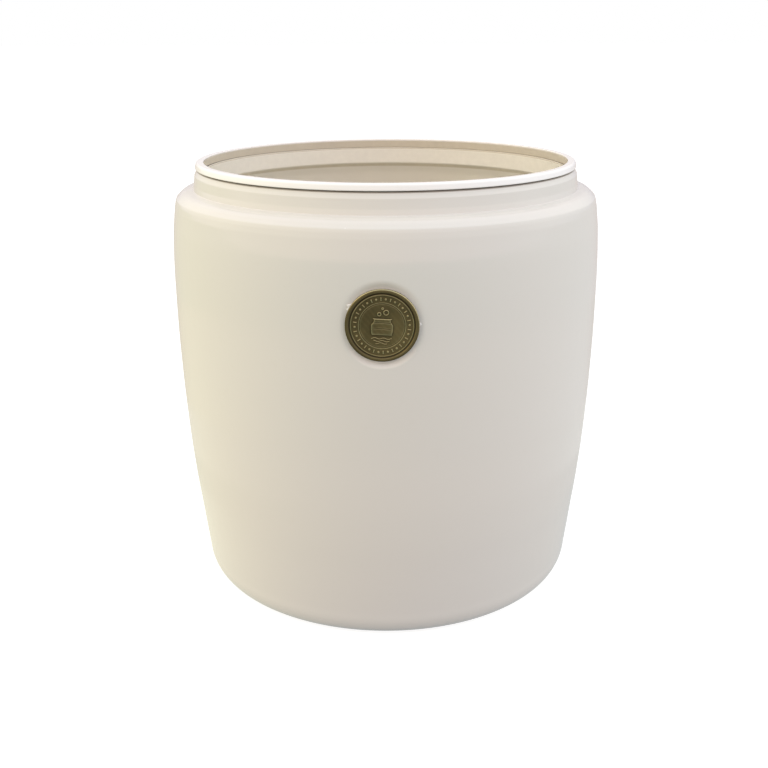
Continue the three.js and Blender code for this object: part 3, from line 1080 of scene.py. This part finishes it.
# one row per ring: colour towards the front, right, back and left
FLOOR_LIGHT = [
    ((0.376, 0.409, 0.434), (0.621, 0.634, 0.630), (0.741, 0.728, 0.650), (0.911, 0.891, 0.726)),
    ((0.426, 0.446, 0.450), (0.662, 0.657, 0.648), (0.708, 0.680, 0.608), (0.844, 0.825, 0.662)),
    ((0.508, 0.496, 0.487), (0.776, 0.778, 0.765), (0.711, 0.668, 0.617), (0.944, 0.920, 0.748)),
    ((0.403, 0.439, 0.439), (0.808, 0.817, 0.817), (0.610, 0.542, 0.496), (0.969, 0.939, 0.718)),
    ((0.083, 0.302, 0.341), (0.764, 0.797, 0.800), (0.687, 0.605, 0.583), (0.809, 0.848, 0.621)),
]


def floor_material():
    shader = Shader(bpy.data.materials.new("floor_white"))
    xyz = shader.split(shader.add("NewGeometry").outputs["Position"])
    radius = shader.axis_distance(xyz)
    sides = []
    for axis, sign in ((1, -1.0), (0, 1.0), (1, 1.0), (0, -1.0)):
        cosine = shader.times(shader.math("DIVIDE", xyz[axis], radius), sign)
        cosine = shader.math("MAXIMUM", cosine, 0.0)
        sides.append(shader.times(cosine, cosine))
    terms = []
    for colours, start, end in zip(FLOOR_LIGHT, FLOOR_EDGES, FLOOR_EDGES[1:]):
        soft_in, soft_out = max(0.006, 0.06 * start), max(0.006, 0.06 * end)
        mask = shader.ramp(radius, over=(end + soft_out, end - soft_out))
        if start > 0:
            inner = shader.ramp(radius, over=(start - soft_in, start + soft_in))
            mask = shader.times(mask, inner)
        for side, colour in zip(sides, colours):
            name = "floor%02d" % len(terms)
            terms.append(shader.scaled(colour, shader.times(mask, side), name=name))
    bounce = shader.add("Emission", Color=shader.total(terms), Strength=1.0)
    grey = shader.add("BsdfDiffuse", Color=FLOOR_GREY)
    glow = shader.add("Emission", Color=(1, 1, 1), Strength=FLOOR_GLOW,
                      settings={"name": "glow"})
    seen = shader.add("AddShader", grey.outputs[0], glow.outputs[0])
    material = shader.finish_for_camera(unseen=bounce, seen=seen)
    material.cycles.emission_sampling = "NONE"
    return material


def make_floor():
    mesh = bpy.data.meshes.new("floor")
    corners = [(x * FLOOR_HALF, y * FLOOR_HALF, 0) for x, y in ((-1, -1), (1, -1), (1, 1), (-1, 1))]
    mesh.from_pydata(corners, [], [(0, 1, 2, 3)])
    ob = bpy.data.objects.new("floor", mesh)
    bpy.context.scene.collection.objects.link(ob)
    mesh.materials.append(floor_material())


make_floor()

# ---------------------------------------------------------------------------------------------
# world: a light tent made of soft lobes
# ---------------------------------------------------------------------------------------------

# Rings of lobes: elevation in degrees, sharpness, whether they belong to the overhead panel,
# and their colours at even steps of azimuth from the camera side, by +X.
LIGHT_RINGS = [
    (0, 0.0, False, [(0.185, 0.123, 0.405)]),
    (5, 8.0, False, [
        (0.304, 0.260, 0.074), (0.401, 0.400, 0.278), (0.584, 0.652, 0.478),
        (0.327, 0.368, 0.195), (0.253, 0.273, 0.109), (0.468, 0.495, 0.295),
        (0.804, 0.798, 0.440), (0.579, 0.534, 0.210),
    ]),
    (33, 8.0, False, [
        (0.622, 0.499, 0.347), (0.660, 0.592, 0.511), (0.804, 0.818, 0.691),
        (0.481, 0.489, 0.348), (0.375, 0.343, 0.202), (0.549, 0.547, 0.394),
        (0.996, 0.932, 0.632), (0.854, 0.740, 0.451),
    ]),
    (62, 6.0, True, [
        (0.037, 0.191, 0.221), (0.149, 0.281, 0.310), (0.233, 0.269, 0.255),
        (0.200, 0.147, 0.110), (0.233, 0.214, 0.182), (0.167, 0.242, 0.228),
    ]),
    (90, 6.0, True, [(0.149, 0.199, 0.173)]),
]
PANEL_NORMAL = (0.0, 1.0, 1.04)  # puts the panel's straight front edge 44 degrees up
PANEL_SOFT = 0.09


def make_world():
    world = bpy.data.worlds.new("studio")
    bpy.context.scene.world = world
    shader = Shader(world, "OutputWorld")
    direction = shader.add("VectorMath", shader.add("TexCoord").outputs["Generated"],
                           settings={"operation": "NORMALIZE"}).outputs[0]

    def facing(vector):
        return shader.add("VectorMath", direction, vector,
                          settings={"operation": "DOT_PRODUCT"}).outputs["Value"]

    panel = shader.ramp(facing(PANEL_NORMAL), over=(-PANEL_SOFT, PANEL_SOFT))
    terms = []
    for elevation, sharpness, overhead, colours in LIGHT_RINGS:
        e = math.radians(elevation)
        for i, colour in enumerate(colours):
            a = math.radians(i * 360 / len(colours))
            towards = (math.sin(a) * math.cos(e), -math.cos(a) * math.cos(e), math.sin(e))
            power = shader.math("MULTIPLY_ADD", facing(towards), sharpness, -sharpness)
            power = shader.math("EXPONENT", power)
            if overhead:
                power = shader.times(power, panel)
            terms.append(shader.scaled(colour, power, name="lobe%02d" % len(terms)))
    tent = shader.add("Background", Color=shader.total(terms))
    white = shader.add("Background", Color=(1, 1, 1), Strength=1.0)
    shader.finish_for_camera(unseen=tent, seen=white)


make_world()

# ---------------------------------------------------------------------------------------------
# camera: in front, a little to the right, looking down at the crock
# ---------------------------------------------------------------------------------------------

CAMERA_AZIMUTH = math.radians(1.05)
CAMERA_PITCH, CAMERA_ROLL = 0.3363, -0.0048  # radians
CAMERA_DISTANCE, CAMERA_SHIFT, CAMERA_HEIGHT = 0.57385, 0.001447, 0.30625  # metres


def make_camera():
    data = bpy.data.cameras.new("camera")
    data.lens = 47.24
    data.sensor_width = 36.0
    data.clip_start, data.clip_end = 0.01, 50.0
    camera = bpy.data.objects.new("camera", data)
    bpy.context.scene.collection.objects.link(camera)
    bpy.context.scene.camera = camera
    cos, sin = math.cos(CAMERA_AZIMUTH), math.sin(CAMERA_AZIMUTH)
    level = math.cos(CAMERA_PITCH)
    right = Vector((cos, sin, 0))
    ahead = Vector((-sin * level, cos * level, -math.sin(CAMERA_PITCH)))
    up = right.cross(ahead)
    camera.location = (Vector((sin, -cos, 0)) * CAMERA_DISTANCE - right * CAMERA_SHIFT
                       + Vector((0, 0, CAMERA_HEIGHT)))
    axes = Matrix((right, up, -ahead)).transposed()
    camera.rotation_mode = "QUATERNION"
    camera.rotation_quaternion = (axes @ Matrix.Rotation(CAMERA_ROLL, 3, "Z")).to_quaternion()


make_camera()

bpy.context.scene.view_settings.view_transform = "Standard"
bpy.context.scene.view_settings.look = "None"
